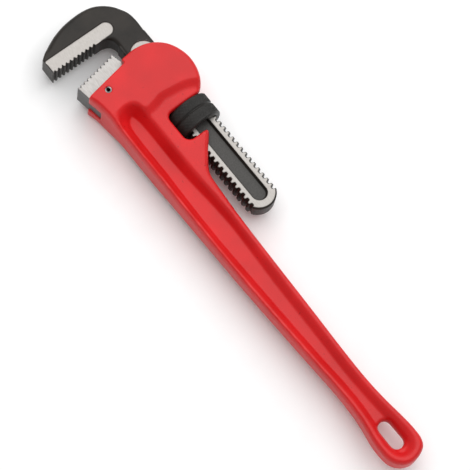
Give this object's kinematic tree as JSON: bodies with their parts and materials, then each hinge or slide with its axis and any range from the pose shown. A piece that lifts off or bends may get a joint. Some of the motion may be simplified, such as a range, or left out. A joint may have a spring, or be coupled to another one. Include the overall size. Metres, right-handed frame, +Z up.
{
  "type": "pipe wrench",
  "caption": "Straight pipe wrench with a cast I-section handle, adjustable toothed hook jaw on a threaded shank, knurled nut and fixed toothed heel jaw.",
  "frame": {"origin": "on the head's lower flat face, straight below the axis of the hook jaw's shank, in the middle of the housing", "axes": "+X along the shank and the handle, from the handle's end towards the hook; +Y across the handle towards the side on which the jaws open; +Z up through the thickness, with the wrench lying on its side"},
  "size_m": [0.4172, 0.0887, 0.036],
  "materials": {
    "red_enamel": "semi-gloss enamel over a cast surface",
    "forged_black": "black oxide over a forged surface, with bright ground flats",
    "nut_black": "black oxide, knurled",
    "ground_steel": "ground flats, dark toothed face",
    "pin_steel": "plain spring steel",
    "spring_steel": "oiled spring steel"
  },
  "bodies": {
    "handle": {"handle": "red_enamel", "heel_jaw": "ground_steel", "heel_jaw_pin": "pin_steel", "spring_rivet": "spring_steel", "coil_spring": "spring_steel"},
    "floating_carrier": {"flat_spring": "spring_steel"},
    "hook_jaw": {"hook_jaw": "forged_black"},
    "adjusting_nut": {"adjusting_nut": "nut_black"}
  },
  "joints": [
    {"name": "jaw_rock", "type": "hinge", "parent": "handle", "child": "floating_carrier", "pos_m": [-0.0373, 0, 0.018], "axis": [0, 0, 1], "range_deg": [-1.5, 1.5], "stiffness_Nm_per_rad": 30, "deforming": ["flat_spring", "coil_spring"]},
    {"name": "nut_spin", "type": "hinge", "parent": "floating_carrier", "child": "adjusting_nut", "pos_m": [-0.0373, 0, 0.018], "axis": [1, 0, 0], "range_deg": [-3905, 856]},
    {"name": "jaw_slide", "type": "slide", "parent": "floating_carrier", "child": "hook_jaw", "axis": [1, 0, 0], "range_m": [-0.012, 0.055]}
  ],
  "couplings": [
    {"joint": "nut_spin", "follows": "jaw_slide", "rad_per_m": -1236.8}
  ]
}
